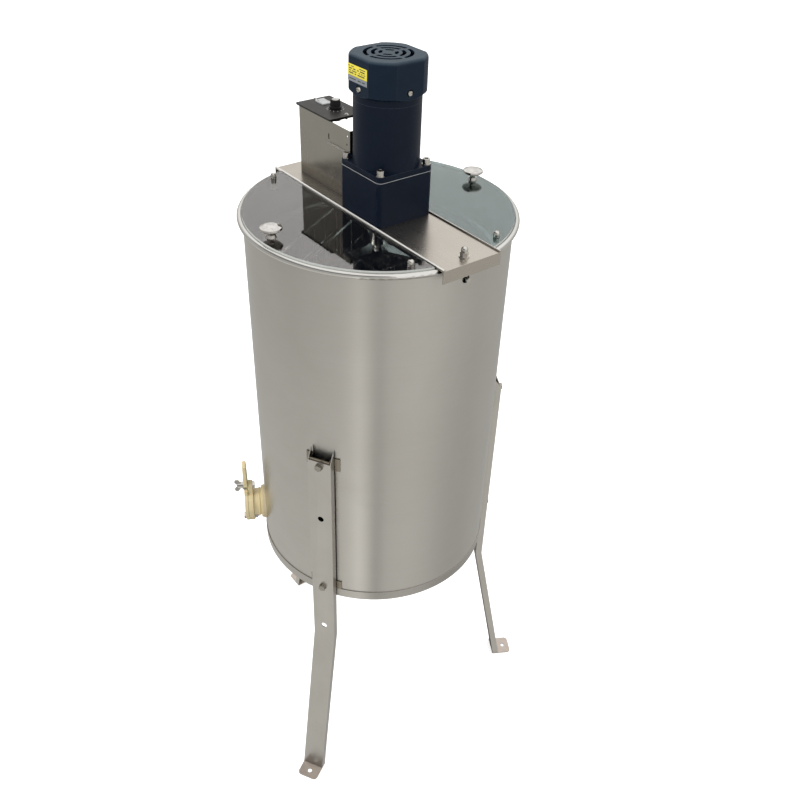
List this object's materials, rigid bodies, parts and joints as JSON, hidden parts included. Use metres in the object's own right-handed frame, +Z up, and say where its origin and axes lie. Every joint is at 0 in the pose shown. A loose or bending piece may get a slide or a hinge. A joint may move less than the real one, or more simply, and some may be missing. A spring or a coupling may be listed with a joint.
{
  "type": "honey extractor",
  "caption": "Steel drum on legs with a spinning frame basket driven by a gearmotor on a bridge, clear half lids, a speed control box and a honey gate.",
  "frame": {"origin": "on the floor under the drum's axis, at the centre of the three foot bolt holes", "axes": "+Z up along the drum's axis; X along the bridge, with the control box at -X; the honey gate is 240 degrees round from +X"},
  "size_m": [0.4905, 0.5158, 1.212],
  "materials": {
    "drum_steel": "satin rolled stainless sheet",
    "leg_steel": "brushed folded stainless strip",
    "bolt_steel": "bright turned fasteners",
    "bridge_steel": "brushed stainless sheet",
    "gate_plastic": "cream moulded food-grade plastic",
    "gasket_rubber": "soft pale rubber",
    "motor_paint": "dark navy satin enamel on castings",
    "cover_paint": "dark blue-grey satin enamel",
    "gear_steel": "ground steel",
    "bearing_steel": "polished bearing rings",
    "core_steel": "stacked laminations",
    "winding_copper": "varnished copper wire",
    "black_plastic": "black moulded plastic",
    "switch_grey": "light grey moulded plastic",
    "knob_plastic": "black knob with a pale pointer",
    "board_green": "varnished circuit board",
    "pot_metal": "nickel-plated can",
    "lid_acrylic": "clear acrylic sheet",
    "lid_acrylic_cool": "clear acrylic sheet with a cool cast",
    "peg_nylon": "white nylon",
    "basket_steel": "bright stainless wire and strip"
  },
  "bodies": {
    "root": {"drum_wall": "drum_steel", "drum_floor": "drum_steel", "leg_left": "leg_steel", "leg_front": "leg_steel", "leg_rear": "leg_steel", "foot_plates": "leg_steel", "leg_brackets": "leg_steel", "leg_bolts": "bolt_steel", "gate_bolts": "bolt_steel", "hook_bolts": "bolt_steel", "acorn_nuts": "bolt_steel", "gearbox_bolts": "bolt_steel", "fan_cover_screws": "bolt_steel", "box_screws": "bolt_steel", "bridge_plate": "bridge_steel", "control_box": "bridge_steel", "gate_body": "gate_plastic", "gate_ring_nut": "gate_plastic", "gate_gaskets": "gasket_rubber", "gearbox_case": "motor_paint", "gearbox_flange": "motor_paint", "motor_shell": "motor_paint", "motor_end_cap": "motor_paint", "fan_cover": "cover_paint", "bearing_ball": "gear_steel", "gearbox_bearings": "bearing_steel", "motor_bearings": "bearing_steel", "stator_core": "core_steel", "stator_windings": "winding_copper", "control_panel": "black_plastic", "motor_gland": "black_plastic", "foot_bearing_cup": "black_plastic", "run_capacitor": "black_plastic", "switch_body": "switch_grey", "controller_board": "board_green", "speed_pot": "pot_metal"},
    "basket": {"basket_shaft": "basket_steel", "shaft_coupling": "basket_steel", "upper_spider": "basket_steel", "lower_spider": "basket_steel", "frame_cage_1": "basket_steel", "frame_cage_2": "basket_steel", "frame_cage_3": "basket_steel", "output_gear": "gear_steel", "output_shaft": "gear_steel"},
    "lay_gears": {"lay_gears": "gear_steel"},
    "rotor": {"motor_shaft": "gear_steel", "rotor_core": "core_steel", "motor_fan": "black_plastic"},
    "lid_left": {"lid_left": "lid_acrylic", "lid_knob_left": "bolt_steel", "lid_pegs_left": "peg_nylon"},
    "lid_right": {"lid_right": "lid_acrylic_cool", "lid_knob_right": "bolt_steel", "lid_pegs_right": "peg_nylon"},
    "gate_flap": {"gate_flap": "gate_plastic"},
    "wing_nut": {"gate_wing_nut": "bolt_steel"},
    "speed_knob": {"speed_knob": "knob_plastic"},
    "switch_rocker": {"switch_rocker": "switch_grey"}
  },
  "joints": [
    {"name": "basket_spin", "type": "hinge", "parent": "root", "child": "basket", "pos_m": [0, 0, 0.7], "axis": [0, 0, 1], "continuous": true},
    {"name": "lay_gear_spin", "type": "hinge", "parent": "root", "child": "lay_gears", "pos_m": [0.00547, 0.02027, 1.03], "axis": [0, 0, 1], "continuous": true},
    {"name": "rotor_spin", "type": "hinge", "parent": "root", "child": "rotor", "pos_m": [0.015, 0, 1.1], "axis": [0, 0, 1], "continuous": true},
    {"name": "lid_left_lift", "type": "slide", "parent": "root", "child": "lid_left", "axis": [0, 0, 1], "range_m": [0, 0.15]},
    {"name": "lid_right_lift", "type": "slide", "parent": "root", "child": "lid_right", "axis": [0, 0, 1], "range_m": [0, 0.15]},
    {"name": "gate_flap_swing", "type": "hinge", "parent": "root", "child": "gate_flap", "pos_m": [-0.1105, -0.19139, 0.4255], "axis": [-0.5, -0.866, 0], "range_deg": [0, 100]},
    {"name": "wing_nut_turn", "type": "hinge", "parent": "root", "child": "wing_nut", "pos_m": [-0.114, -0.19745, 0.496], "axis": [-0.5, -0.866, 0], "range_deg": [0, 720]},
    {"name": "speed_knob_turn", "type": "hinge", "parent": "root", "child": "speed_knob", "pos_m": [-0.118, 0.008, 1.105], "axis": [0, 0, -1], "range_deg": [0, 270]},
    {"name": "switch_rocker_tilt", "type": "hinge", "parent": "root", "child": "switch_rocker", "pos_m": [-0.15, 0.009, 1.1005], "axis": [0, -1, 0], "range_deg": [0, 20]}
  ],
  "couplings": [
    {"joint": "lay_gear_spin", "follows": "basket_spin", "ratio": -2},
    {"joint": "rotor_spin", "follows": "basket_spin", "ratio": 6}
  ]
}
